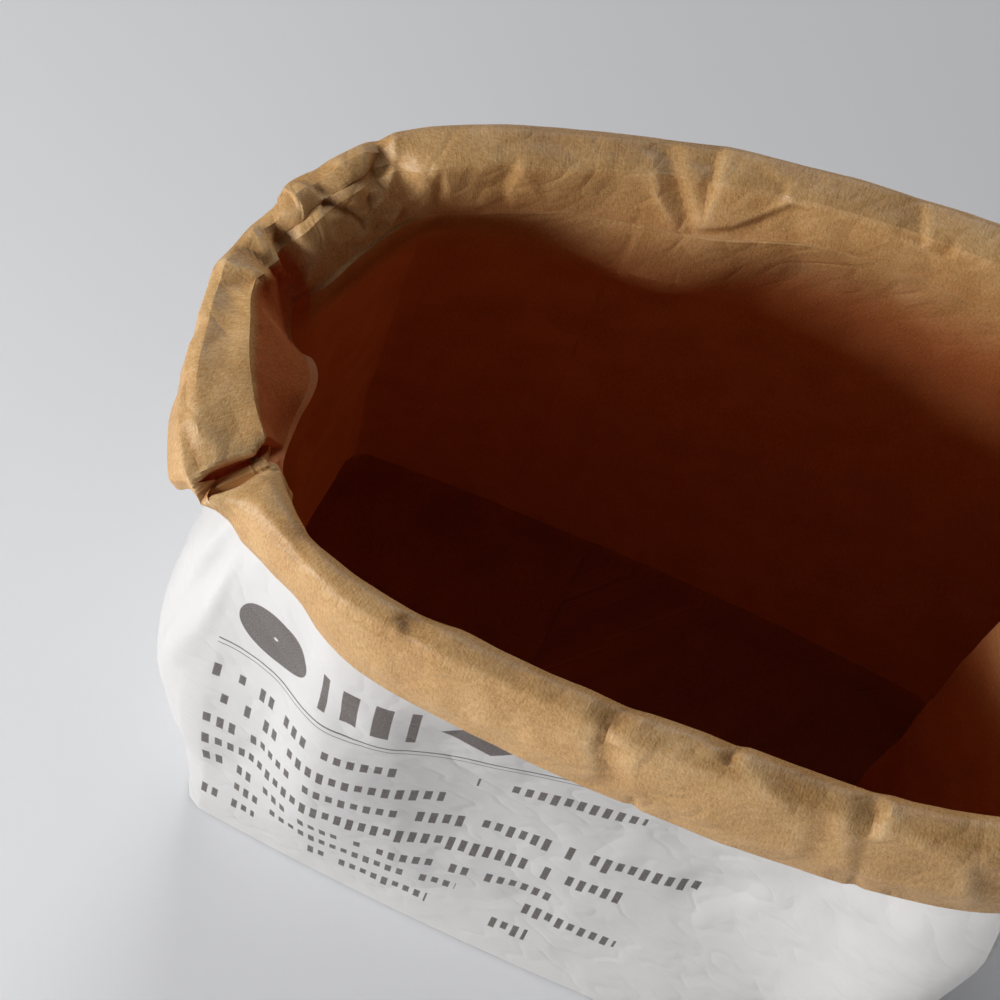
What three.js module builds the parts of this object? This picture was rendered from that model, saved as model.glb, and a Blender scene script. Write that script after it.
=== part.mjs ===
// A paper carrier with a block bottom and gusseted ends, standing open with its top turned out
// into a rolled cuff. Millimetres: X along the front, Y from the front to the back, Z up.
// The origin is the middle of the bag's outline, on the surface that it stands on.
import * as THREE from 'three';

// The way round the paper, counted from the front left corner, and the creases that cross it.
const ROUND = 840;
const FRONT_RIGHT = 260;
const RIGHT_GUSSET = 340;
const BACK_RIGHT = 420;
const BACK_LEFT = 680;
const LEFT_GUSSET = 760;
const HALF_GUSSET = 80;

const WALL = 1.6; // both plies and the air between them
const OUTLINE_MIDDLE = new THREE.Vector2(17.84, 4.6); // of the cuff's outline, from the middle of the floor

// The block bottom: its four corners, how far its sides bow out, and how round its corners are.
const BASE_CORNERS = [
  { along: 0, x: -127, y: -76 },
  { along: FRONT_RIGHT, x: 123, y: -80 },
  { along: BACK_RIGHT, x: 121, y: 76 },
  { along: BACK_LEFT, x: -132, y: 83 },
];
const BASE_BOW = 5;
const CORNER_ROUNDING = 7;

const SWELL_RISE = 0.6; // how much more the walls swell in their upper half than in their lower half

// How far each gusset's centre crease is pushed in, at the height where the bottom's folds meet it.
const GUSSETS = [
  { along: RIGHT_GUSSET, push: 24 },
  { along: LEFT_GUSSET, push: 12 },
];
const FOLD_HEIGHT = 80;

// The mouth, place by place round the paper. x, y: inner edge of the rim. rim: its height.
// deep: the roll's width. tall: height of its outer face. inner: height of its inner face.
// lean: how far the inner face leans into the mouth.
// belly: how far the wall below swells out, below 0 where it sags in.
// crease: 1 where the outline turns at a crease.
const MOUTH = [
  { along: 0, x: -74, y: -51, rim: 299, deep: 24, tall: 9, inner: 20, lean: 2, belly: 16, crease: 1 },
  { along: 10, x: -69, y: -57, rim: 303, deep: 14, tall: 25, inner: 24, lean: 0, belly: 10, crease: 0 },
  { along: 28, x: -58, y: -66, rim: 306, deep: 10, tall: 27, inner: 28, lean: 0, belly: 6, crease: 0 },
  { along: 55, x: -37, y: -75, rim: 309, deep: 11, tall: 36, inner: 30, lean: 0, belly: 8, crease: 0 },
  { along: 95, x: 0, y: -78, rim: 310, deep: 13, tall: 38, inner: 32, lean: 0, belly: -3, crease: 0 },
  { along: 145, x: 48, y: -79, rim: 310, deep: 13, tall: 39, inner: 32, lean: 0, belly: -13, crease: 0 },
  { along: 190, x: 92, y: -76, rim: 309, deep: 14, tall: 40, inner: 32, lean: 0, belly: -15, crease: 0 },
  { along: 230, x: 130, y: -71, rim: 309, deep: 14, tall: 42, inner: 32, lean: 0, belly: -6, crease: 0 },
  { along: 260, x: 156, y: -64, rim: 309, deep: 14, tall: 40, inner: 32, lean: 0, belly: 13, crease: 1 },
  { along: 300, x: 150, y: -30, rim: 308, deep: 13, tall: 36, inner: 30, lean: 3, belly: 6, crease: 0 },
  { along: 340, x: 138, y: 4, rim: 306, deep: 13, tall: 34, inner: 30, lean: 6, belly: 0, crease: 1 },
  { along: 380, x: 150, y: 36, rim: 308, deep: 13, tall: 34, inner: 30, lean: 3, belly: 3, crease: 0 },
  { along: 420, x: 158, y: 70, rim: 309, deep: 13, tall: 34, inner: 30, lean: 0, belly: 5, crease: 1 },
  { along: 450, x: 132, y: 84, rim: 309, deep: 13, tall: 34, inner: 30, lean: 0, belly: 5, crease: 0 },
  { along: 500, x: 85, y: 87, rim: 308, deep: 14, tall: 34, inner: 26, lean: 0, belly: 6, crease: 0 },
  { along: 550, x: 40, y: 85, rim: 308, deep: 14, tall: 34, inner: 20, lean: 2, belly: 6, crease: 0 },
  { along: 590, x: 3, y: 79, rim: 308, deep: 15, tall: 34, inner: 26, lean: 4, belly: 6, crease: 0 },
  { along: 630, x: -33, y: 67, rim: 308, deep: 16, tall: 34, inner: 26, lean: 0, belly: 5, crease: 0 },
  { along: 665, x: -64, y: 55, rim: 308, deep: 15, tall: 34, inner: 28, lean: 0, belly: 4, crease: 0 },
  { along: 690, x: -77, y: 44, rim: 307, deep: 19, tall: 34, inner: 22, lean: 0, belly: 3, crease: 0 },
  { along: 712, x: -86, y: 27, rim: 306, deep: 24, tall: 34, inner: 20, lean: 0, belly: 4, crease: 0 },
  { along: 735, x: -92, y: 13, rim: 305, deep: 24, tall: 32, inner: 20, lean: 0, belly: 7, crease: 0 },
  { along: 748, x: -100, y: 7, rim: 302, deep: 18, tall: 30, inner: 22, lean: 0, belly: 10, crease: 1 },
  { along: 760, x: -104, y: -3, rim: 306, deep: 14, tall: 31, inner: 30, lean: 9, belly: 13, crease: 0 },
  { along: 785, x: -99, y: -18, rim: 307, deep: 16, tall: 30, inner: 32, lean: 16, belly: 19, crease: 0 },
  { along: 810, x: -91, y: -34, rim: 307, deep: 20, tall: 26, inner: 32, lean: 10, belly: 25, crease: 0 },
  { along: 830, x: -81, y: -46, rim: 305, deep: 24, tall: 18, inner: 28, lean: 3, belly: 24, crease: 0 },
];

// Folds pressed into the cuff. along: where each crosses the rim. slant: how far it runs along
// the paper between the cuff's inner and outer edges. half: half its width. depth: how far in.
const CUFF_FOLDS = [
  { along: 0, slant: 4, half: 7, depth: 8 },
  { along: 30, slant: -6, half: 10, depth: 2 },
  { along: 84, slant: 8, half: 12, depth: 2.5 },
  { along: 152, slant: 4, half: 10, depth: 3 },
  { along: 214, slant: -4, half: 10, depth: 3 },
  { along: 340, slant: 0, half: 12, depth: 5 },
  { along: 512, slant: 6, half: 10, depth: 2.5 },
  { along: 552, slant: 10, half: 10, depth: 3 },
  { along: 594, slant: -6, half: 14, depth: 4 },
  { along: 650, slant: 6, half: 10, depth: 3 },
  { along: 684, slant: -8, half: 8, depth: 5 },
  { along: 705, slant: -6, half: 8, depth: 4 },
  { along: 725, slant: -4, half: 7, depth: 5 },
  { along: 748, slant: 4, half: 8, depth: 6 },
  { along: 800, slant: 12, half: 16, depth: 3 },
];

// The cuff's section, from the tuck under its outer face over the rim to its inner face.
// across: 0 at the rim's inner edge and 1 at its outer face. drop: 1 at the foot of the face.
const OUTER_FACE = [
  { across: 1.12, drop: 1 },
  { across: 1.2, drop: 0.55 },
  { across: 1, drop: 0.1 },
  { across: 0.76, drop: 0 },
];
const CROWN_INNER = { across: 0.22, drop: 0 };
const INNER_FACE = [0.08, 0.45, 1];

const FOLD_INSET = 0.7; // how much of a fold's depth goes sideways on the outer face
const TUCK = 3; // height of the tuck above the foot of the cuff
const EVENING = 14; // stretch of outline over which its direction is evened out

const WALL_HEIGHTS = [0, 8, 28, 54, FOLD_HEIGHT, 112, 146, 180, 210, 236];
const COARSE_STEP = 10;
const FINE_STEP = 5;
const FINE_UNTIL = 60;
const FINE_FROM = 600;

const wrap = (along) => ((along % ROUND) + ROUND) % ROUND;

// The shorter way round from one place on the paper to another, with its sign.
const apart = (a, b) => wrap(a - b + ROUND / 2) - ROUND / 2;

function slopeAt(rows, index, key, side) {
  const count = rows.length;
  const here = rows[index];
  const before = rows[(index + count - 1) % count];
  const after = rows[(index + 1) % count];
  const from = here.crease && side > 0 ? here : before;
  const to = here.crease && side < 0 ? here : after;
  return (to[key] - from[key]) / wrap(to.along - from.along);
}

// A smooth curve through one column of a closed table, with a corner at each crease.
function curveThrough(rows, key, place) {
  const along = wrap(place);
  let index = rows.length - 1;
  while (rows[index].along > along) index -= 1;
  const next = (index + 1) % rows.length;
  const span = wrap(rows[next].along - rows[index].along);
  const t = (along - rows[index].along) / span;
  const leave = slopeAt(rows, index, key, 1) * span;
  const arrive = slopeAt(rows, next, key, -1) * span;
  const a = rows[index][key];
  const b = rows[next][key];
  const eased = t * t * (3 - 2 * t);
  return a + (b - a) * eased + leave * t * (1 - t) * (1 - t) - arrive * t * t * (1 - t);
}

const mouth = (key, along) => curveThrough(MOUTH, key, along);

function sharpBase(place) {
  const along = wrap(place);
  const count = BASE_CORNERS.length;
  let index = count - 1;
  while (BASE_CORNERS[index].along > along) index -= 1;
  const from = BASE_CORNERS[index];
  const to = BASE_CORNERS[(index + 1) % count];
  const t = (along - from.along) / wrap(to.along - from.along);
  const side = new THREE.Vector2(to.x - from.x, to.y - from.y);
  const out = new THREE.Vector2(side.y, -side.x).normalize();
  return new THREE.Vector2(from.x, from.y)
    .addScaledVector(side, t)
    .addScaledVector(out, BASE_BOW * 4 * t * (1 - t));
}

function base(along) {
  const near = sharpBase(along - CORNER_ROUNDING);
  const far = sharpBase(along + CORNER_ROUNDING);
  return near.add(far).add(sharpBase(along)).divideScalar(3);
}

const rimEdge = (along) => new THREE.Vector2(mouth('x', along), mouth('y', along));

// The outward direction in plan, evened out over a stretch of the outline.
function outward(outline, along) {
  const chord = outline(along + EVENING).sub(outline(along - EVENING));
  return new THREE.Vector2(chord.y, -chord.x).normalize();
}

function gussetPush(along, height) {
  let push = 0;
  for (const gusset of GUSSETS) {
    const beside = 1 - Math.abs(apart(along, gusset.along)) / HALF_GUSSET;
    const above = Math.max(0, (height - FOLD_HEIGHT) / (mouth('rim', along) - FOLD_HEIGHT));
    push += gusset.push * Math.max(0, Math.min(beside, height / FOLD_HEIGHT)) * (1 - above);
  }
  return push;
}

const waistHeight = (along) => mouth('rim', along) - mouth('inner', along);

function waist(along) {
  return rimEdge(along).addScaledVector(outward(rimEdge, along), -mouth('lean', along));
}

// The wall's inner face: from the block bottom to the waist under the cuff.
function wallAt(along, height, thickness) {
  const t = Math.min(height / waistHeight(along), 1);
  const out = outward(base, along).lerp(outward(rimEdge, along), t).normalize();
  const swell = mouth('belly', along) * 4 * t * (1 - t) * (1 + SWELL_RISE * (2 * t - 1));
  const plan = base(along).lerp(waist(along), t);
  return plan.addScaledVector(out, swell - gussetPush(along, height) + thickness);
}

const at = (plan, height) => new THREE.Vector3(plan.x, plan.y, height);

function foldDepth(along, across) {
  let depth = 0;
  for (const fold of CUFF_FOLDS) {
    const off = Math.abs(apart(along, fold.along + fold.slant * across));
    depth += fold.depth * Math.max(0, 1 - off / fold.half);
  }
  return depth;
}

function cuffAt(along, across, drop) {
  const fold = foldDepth(along, across);
  const out = outward(rimEdge, along);
  const inset = drop > 0 ? fold * FOLD_INSET : 0;
  const plan = rimEdge(along).addScaledVector(out, mouth('deep', along) * across - inset);
  const sunk = drop < 1 ? fold * (1 - drop) : 0;
  return at(plan, mouth('rim', along) - mouth('tall', along) * drop - sunk);
}

function innerFaceAt(along, drop) {
  const out = outward(rimEdge, along);
  const plan = rimEdge(along).addScaledVector(out, -mouth('lean', along) * drop);
  const sunk = foldDepth(along, 0) * (1 - drop);
  return at(plan, mouth('rim', along) - mouth('inner', along) * drop - sunk);
}

function tuckAt(along) {
  const height = mouth('rim', along) - mouth('tall', along) + TUCK;
  return at(wallAt(along, height, WALL), height);
}

// All rings of the closed surface in order, from the underside's rim to the floor inside.
function ringMakers() {
  const makers = WALL_HEIGHTS.map((height) => (along) => at(wallAt(along, height, WALL), height));
  makers.push(tuckAt);
  for (const { across, drop } of OUTER_FACE) makers.push((along) => cuffAt(along, across, drop));
  makers.push((along) => cuffAt(along, CROWN_INNER.across, CROWN_INNER.drop));
  for (const drop of INNER_FACE) makers.push((along) => innerFaceAt(along, drop));
  for (const height of WALL_HEIGHTS.slice(1).reverse()) {
    makers.push((along) => at(wallAt(along, height, 0), height));
  }
  makers.push((along) => at(wallAt(along, WALL, 0), WALL));
  return makers;
}

function placesRound() {
  const places = [];
  for (let along = 0; along < ROUND; ) {
    places.push(along);
    along += along < FINE_UNTIL || along >= FINE_FROM ? FINE_STEP : COARSE_STEP;
  }
  return places;
}

function bagGeometry() {
  const places = placesRound();
  const makers = ringMakers();
  const count = places.length;
  const points = [];
  for (const maker of makers) points.push(...places.map(maker));
  const faces = [];
  for (let ring = 0; ring + 1 < makers.length; ring += 1) {
    for (let i = 0; i < count; i += 1) {
      const a = ring * count + i;
      const b = ring * count + ((i + 1) % count);
      faces.push(a, b, b + count, a, b + count, a + count);
    }
  }
  const underside = points.push(new THREE.Vector3(0, 0, 0)) - 1;
  const floor = points.push(new THREE.Vector3(0, 0, WALL)) - 1;
  const last = (makers.length - 1) * count;
  for (let i = 0; i < count; i += 1) {
    const j = (i + 1) % count;
    faces.push(underside, j, i, floor, last + i, last + j);
  }
  const geometry = new THREE.BufferGeometry().setFromPoints(points);
  geometry.setIndex(faces);
  geometry.translate(-OUTLINE_MIDDLE.x, -OUTLINE_MIDDLE.y, 0);
  geometry.computeVertexNormals();
  return geometry;
}

function paperBag() {
  const paper = new THREE.MeshStandardMaterial({ color: 0xc9a377, roughness: 0.75, metalness: 0 });
  const mesh = new THREE.Mesh(bagGeometry(), paper);
  mesh.name = 'paper_bag';
  return mesh;
}

const group = new THREE.Group();
group.add(paperBag());

export default group;
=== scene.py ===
# %% [markdown]
# # A paper carrier, standing open with its top turned out
# This lesson builds one object: a block-bottomed carrier of two-ply paper, brown kraft inside
# and white outside, whose top has been rolled outwards into a soft brown cuff. The solid that
# other tools use for it is loaded first. It fixes where everything goes, in metres.

# %% Load the solid that the paper follows
import math

import bpy
import numpy as np
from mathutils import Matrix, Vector
from mathutils.geometry import delaunay_2d_cdt


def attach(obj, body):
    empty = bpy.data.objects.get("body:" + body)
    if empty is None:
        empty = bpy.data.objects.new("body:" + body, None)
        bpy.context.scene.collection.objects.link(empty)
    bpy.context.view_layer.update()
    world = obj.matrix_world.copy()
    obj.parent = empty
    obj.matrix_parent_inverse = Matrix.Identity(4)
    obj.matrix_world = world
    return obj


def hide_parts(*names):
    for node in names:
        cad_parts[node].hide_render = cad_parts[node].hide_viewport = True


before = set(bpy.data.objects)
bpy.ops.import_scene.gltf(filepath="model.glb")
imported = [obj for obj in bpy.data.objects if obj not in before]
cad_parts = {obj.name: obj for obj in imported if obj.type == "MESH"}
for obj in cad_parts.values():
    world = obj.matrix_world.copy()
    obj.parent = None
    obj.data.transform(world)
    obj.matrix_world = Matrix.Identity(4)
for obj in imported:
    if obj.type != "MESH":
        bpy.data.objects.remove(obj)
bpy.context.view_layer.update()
MM = 0.001

# %% [markdown]
# ## The camera
# The picture was taken from high in front of the bag, a little to its right, with a long lens
# that flattens the view. A camera object could be aimed with a constraint, but two angles and a
# place are all it needs, and they can be read again by anyone.

# %% Camera
CAMERA_PLACE = (0.09256, -0.3182, 0.984)
CAMERA_DOWN = 66.0
CAMERA_TURN = 24.0
LENS, SENSOR = 97.02, 36.0

camera = bpy.data.objects.new("camera", bpy.data.cameras.new("camera"))
bpy.context.scene.collection.objects.link(camera)
camera.location = CAMERA_PLACE
camera.rotation_euler = (math.radians(90 - CAMERA_DOWN), 0, math.radians(CAMERA_TURN))
camera.data.lens = LENS
camera.data.sensor_width = SENSOR
camera.data.clip_start = 0.01
bpy.context.scene.camera = camera
print("camera looks down", CAMERA_DOWN, "degrees, turned", CAMERA_TURN)

# %% [markdown]
# ## Measuring along the paper
# A carrier is one sheet, glued into a tube. Every place on it has a distance along the tube's
# edge, from the front left corner round to the same corner again, and a place up its height.
# The creases of the folded bag are at fixed distances along it. All lengths here are
# millimetres, and the outline's middle is taken off at the end.

# %% The tube and its creases
ROUND = 840.0
FRONT_RIGHT, RIGHT_GUSSET, BACK_RIGHT, BACK_LEFT, LEFT_GUSSET = 260.0, 340.0, 420.0, 680.0, 760.0
HALF_GUSSET = 80.0
OUTLINE_MIDDLE = np.array([17.84, 4.6])


def apart(a, b):
    """The shorter way round from one place to another, with its sign."""
    return np.mod(a - b + ROUND / 2, ROUND) - ROUND / 2


# %% [markdown]
# ## The mouth
# The top edge is a soft closed curve. It is given where it changes: its place in plan, its
# height, how wide and tall the roll is, how far its inner face leans in and how far the wall
# below swells out. A smooth curve through each column fills in the rest, with a corner at
# each crease. A Bezier curve object could do it too, but then only the outline would be
# smooth, not the measures of the roll.

# %% The mouth's measures, place by place
MOUTH_COLUMNS = "along x y rim deep tall inner lean belly crease".split()
MOUTH_ROWS = [
    (0, -74, -51, 299, 24, 9, 20, 2, 16, 1),
    (10, -69, -57, 303, 14, 25, 24, 0, 10, 0),
    (28, -58, -66, 306, 10, 27, 28, 0, 6, 0),
    (55, -37, -75, 309, 11, 36, 30, 0, 8, 0),
    (95, 0, -78, 310, 13, 38, 32, 0, -3, 0),
    (145, 48, -79, 310, 13, 39, 32, 0, -13, 0),
    (190, 92, -76, 309, 14, 40, 32, 0, -15, 0),
    (230, 130, -71, 309, 14, 42, 32, 0, -6, 0),
    (260, 156, -64, 309, 14, 40, 32, 0, 13, 1),
    (300, 150, -30, 308, 13, 36, 30, 3, 6, 0),
    (340, 138, 4, 306, 13, 34, 30, 6, 0, 1),
    (380, 150, 36, 308, 13, 34, 30, 3, 3, 0),
    (420, 158, 70, 309, 13, 34, 30, 0, 5, 1),
    (450, 132, 84, 309, 13, 34, 30, 0, 5, 0),
    (500, 85, 87, 308, 14, 34, 26, 0, 6, 0),
    (550, 40, 85, 308, 14, 34, 20, 2, 6, 0),
    (590, 3, 79, 308, 15, 34, 26, 4, 6, 0),
    (630, -33, 67, 308, 16, 34, 26, 0, 5, 0),
    (665, -64, 55, 308, 15, 34, 28, 0, 4, 0),
    (690, -77, 44, 307, 19, 34, 22, 0, 3, 0),
    (712, -86, 27, 306, 24, 34, 20, 0, 4, 0),
    (735, -92, 13, 305, 24, 32, 20, 0, 7, 0),
    (748, -100, 7, 302, 18, 30, 22, 0, 10, 1),
    (760, -104, -3, 306, 14, 31, 30, 9, 13, 0),
    (785, -99, -18, 307, 16, 30, 32, 16, 19, 0),
    (810, -91, -34, 307, 20, 26, 32, 10, 25, 0),
    (830, -81, -46, 305, 24, 18, 28, 3, 24, 0),
]
MOUTH = {name: np.array(values, float) for name, values in zip(MOUTH_COLUMNS, zip(*MOUTH_ROWS))}


def slopes(values):
    """The curve's slope as it comes to each place and as it leaves it."""
    places, crease = MOUTH["along"], MOUTH["crease"] > 0
    before = np.mod(places - np.roll(places, 1), ROUND)
    after = np.mod(np.roll(places, -1) - places, ROUND)
    rise_in, rise_out = values - np.roll(values, 1), np.roll(values, -1) - values
    both = (rise_in + rise_out) / (before + after)
    return np.where(crease, rise_in / before, both), np.where(crease, rise_out / after, both)


def mouth(name, along):
    """One measure of the mouth at any places along the paper."""
    along = np.mod(along, ROUND)
    places, values = MOUTH["along"], MOUTH[name]
    i = np.searchsorted(places, along, side="right") - 1
    j = (i + 1) % len(places)
    arrive, leave = slopes(values)
    span = np.mod(places[j] - places[i], ROUND)
    t = (along - places[i]) / span
    eased = t * t * (3 - 2 * t)
    bend = leave[i] * span * t * (1 - t) ** 2 - arrive[j] * span * t * t * (1 - t)
    return values[i] + (values[j] - values[i]) * eased + bend


CORNER_FOOT = [
    (-28, 26), (-20, 26), (-15, 24), (-10, 16.5), (-5, 7), (-2, 4), (0, 5), (3, 7), (6, 14),
    (10, 25.5), (15, 28), (28, 26), (36, 24), (40, 25), (45, 32), (55, 36),
]


def roll_height(along):
    """How tall the roll's outer face is. Its foot is uneven where the front left corner is slit."""
    off = apart(along, 0.0)
    drawn = np.interp(off, *zip(*CORNER_FOOT))
    return np.where((off > CORNER_FOOT[0][0]) & (off < CORNER_FOOT[-1][0]), drawn, mouth("tall", along))


print("rim runs from", MOUTH["rim"].min(), "to", MOUTH["rim"].max(), "mm up")

# %% [markdown]
# ## The block bottom and the walls
# The bottom is a rectangle whose sides bow out a little, and each wall runs from it up to the
# waist under the cuff. The two ends are gussets: their middle crease is pushed in, most where
# the bottom's diagonal folds meet it. The walls aren't flat, so a swell or a sag is added
# half way up.

# %% Outline of the bottom, and the walls above it
BASE_CORNERS = np.array([(0, -127, -76), (260, 123, -80), (420, 121, 76), (680, -132, 83)], float)
BASE_BOW = 5.0
CORNER_ROUNDING = 7.0
GUSSETS = [(RIGHT_GUSSET, 24.0), (LEFT_GUSSET, 12.0)]
FOLD_HEIGHT = 80.0
EVENING = 14.0
SWELL_RISE = 0.6


def sharp_base(along):
    along = np.mod(along, ROUND)
    i = np.searchsorted(BASE_CORNERS[:, 0], along, side="right") - 1
    j = (i + 1) % len(BASE_CORNERS)
    t = (along - BASE_CORNERS[i, 0]) / np.mod(BASE_CORNERS[j, 0] - BASE_CORNERS[i, 0], ROUND)
    side = BASE_CORNERS[j, 1:] - BASE_CORNERS[i, 1:]
    out = np.stack([side[..., 1], -side[..., 0]], -1)
    out /= np.linalg.norm(out, axis=-1, keepdims=True)
    bow = BASE_BOW * 4 * t * (1 - t)
    return BASE_CORNERS[i, 1:] + side * t[..., None] + out * bow[..., None]


def base(along):
    ends = sharp_base(along - CORNER_ROUNDING) + sharp_base(along + CORNER_ROUNDING)
    return (ends + sharp_base(along)) / 3


def rim_edge(along):
    return np.stack([mouth("x", along), mouth("y", along)], -1)


def outward(outline, along):
    """The direction away from the bag in plan, evened out over a stretch of an outline."""
    chord = outline(along + EVENING) - outline(along - EVENING)
    out = np.stack([chord[..., 1], -chord[..., 0]], -1)
    return out / np.linalg.norm(out, axis=-1, keepdims=True)


def gusset_push(along, height):
    push = 0
    for place, deep in GUSSETS:
        beside = 1 - np.abs(apart(along, place)) / HALF_GUSSET
        above = np.maximum(0, (height - FOLD_HEIGHT) / (mouth("rim", along) - FOLD_HEIGHT))
        push = push + deep * np.maximum(0, np.minimum(beside, height / FOLD_HEIGHT)) * (1 - above)
    return push


# %% [markdown]
# ## Crumpled paper
# Paper can't stretch, so where it is pushed together it breaks into flat facets with sharp
# creases between them. A smooth noise would look like cloth. Here two sets of scattered
# points are used: the squared distance to the nearest point of one set, less that of the
# other, is exactly flat between creases, which is what crumpled paper does.

# %% Facets
FACET_STEEP, FACET_LIMIT = 1.6, 1.5


def nearest_squared(x, y, points):
    best = np.full(x.shape, 1e9)
    for px, py in points:
        best = np.minimum(best, apart(x, px) ** 2 + (y - py) ** 2)
    return best


def facets(x, y, cell, seed, low=-80.0, high=320.0):
    """Flat facets about a cell across, from about -1 to 1."""
    random = np.random.default_rng(seed)
    across, up = int(ROUND / cell), int(math.ceil((high - low) / cell))
    sets = []
    for _ in range(2):
        jitter = random.random((across, up, 2))
        i, j = np.meshgrid(np.arange(across), np.arange(up), indexing="ij")
        px = (i + jitter[..., 0]) * ROUND / across
        py = low + (j + jitter[..., 1]) * cell
        sets.append(np.stack([px.ravel(), py.ravel()], -1))
    spread = nearest_squared(x, y, sets[0]) - nearest_squared(x, y, sets[1])
    return np.clip(spread / cell**2 * FACET_STEEP, -FACET_LIMIT, FACET_LIMIT)


def ease(value, low, high):
    """0 below low, 1 above high, and smooth between them."""
    t = np.clip((value - low) / (high - low), 0, 1)
    return t * t * (3 - 2 * t)


def stretch(along, middle, half, fade):
    """1 within half of a place along the paper, fading to 0 beyond it."""
    return 1 - ease(np.abs(apart(along, middle)), half, half + fade)


# %% [markdown]
# ## Creases of the roll
# Where the roll turns, its paper buckles: short sharp nicks on the near side, and one big
# crumple at the back left corner, where the folds of the end are crowded together. Each
# crease runs outwards over the roll from one place to another. It has a depth, and a width on
# each side: a steep narrow side beside a wide one is a lap, where one fold lies over the next.
# A place over the roll is a single number: 0 at the waist, 1 at the inner edge, 2 at the
# outer edge and 3 at the foot. A negative rise is a valley.
#
# The crumple is drawn another way, by its fold lines. Each line goes from corner to corner,
# with a rise at each, and the paper is flat between the lines.

# %% List of creases: from (along, place), to (along, place), widths before and after, rise
NEAR_CREASES = [
    (149, 2.7, 149, 3.1, 3, 2, -0.8), (212, 2.7, 213, 3.1, 2.5, 3, -0.7), (260, 0.8, 260, 2.9, 9, 9, 1.0),
]
RIGHT_CREASES = [
    (285, 1.0, 292, 2.6, 9, 4, -1.1), (318, 1.1, 312, 2.4, 8, 5, -0.8), (340, 0.5, 340, 2.9, 12, 12, -2.7),
    (362, 1.0, 368, 2.5, 8, 4, -1.1), (395, 1.1, 390, 2.6, 9, 5, -0.9), (420, 0.8, 420, 2.9, 9, 9, 0.8),
]
FAR_CREASES = [(446, 0.9, 452, 2.6, 8, 5, -0.9), (478, 1.2, 470, 2.7, 10, 6, -0.9)]
LEFT_CREASES = [(782, 1.9, 786, 2.8, 8, 8, -1.2), (806, 2.0, 800, 2.8, 9, 9, -1.0)]
SLIT = [
    (822, 0.05, 837, 1.2, 2.5, 4, -1), (837, 1.1, 838.5, 2.1, 3.5, 3, -1),
    (838.5, 2.0, 839, 2.5, 2.5, 2.5, -1),
]
SLIT_DEPTH, SLIT_STEEP = 7.0, 2.0
NEAR_LINES = [
    [(26, 1.02, -0.5), (30, 1.25, -1.3), (35, 1.73, -1.4), (37, 2.15, -0.6)],
    [(14, 1.65, 0.3), (17, 2.2, 0.7), (21, 2.7, 0.2)],
    [(46, 1.02, 0.2), (59, 1.15, 0.4), (70, 1.35, 0.4)],
    [(77.5, 1.02, -0.3), (75.5, 1.18, -1.1), (74, 1.5, -1.4), (78, 2.05, -0.4)],
    [(88, 1.0, 0.5), (89, 1.6, 0.3)],
    [(101, 1.0, -0.2), (110, 1.48, -0.5), (115, 1.78, -0.3)],
    [(129, 1.02, 0.3), (133, 1.5, 0.7), (135.5, 1.9, 0.6)],
    [(140, 1.02, -0.2), (138.5, 1.45, -1), (138, 2.05, -1.4), (141, 2.5, -0.8), (136, 2.8, -0.5)],
    [(134.5, 2.23, 0.5), (137, 2.53, 0.5)],
    [(139.5, 1.98, 0.3), (143, 1.9, 0.6)],
    [(146, 1.23, 0.5), (147, 1.98, 0.5), (148, 2.5, 0.3)],
    [(156, 2.45, 0.3), (157, 1.9, 0.4), (161, 1.65, 0.2)],
    [(162, 1.3, 0.4), (166, 1.38, 0.8), (168.5, 1.45, 0.6)],
    [(171.5, 1.1, -0.4), (170.5, 1.4, -1.5), (172, 1.6, -0.3)],
    [(174.5, 1.1, 0.5), (174, 1.4, 0.7)],
    [(193, 2.05, 0.3), (195, 2.5, 0.3)],
    [(199, 1.83, -0.3), (200, 2.12, -0.7), (199, 2.5, -0.3)],
    [(204, 1.5, 0.3), (205, 1.88, 0.6), (207, 2.33, 0.3)],
    [(209.5, 1.0, -0.4), (210.5, 1.25, -1.2), (212, 1.53, -1.7), (211.5, 2.12, -0.8), (212, 2.7, -0.3)],
    [(215, 1.2, 0.4), (216, 1.43, 0.9), (215, 1.88, 0.4)],
    [(239, 2.1, 0.3), (241, 2.45, 0.6), (243, 2.75, 0.3)],
    [(246, 2.05, -0.3), (247.5, 2.4, -1.3), (249, 2.75, -0.4)],
]
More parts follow.
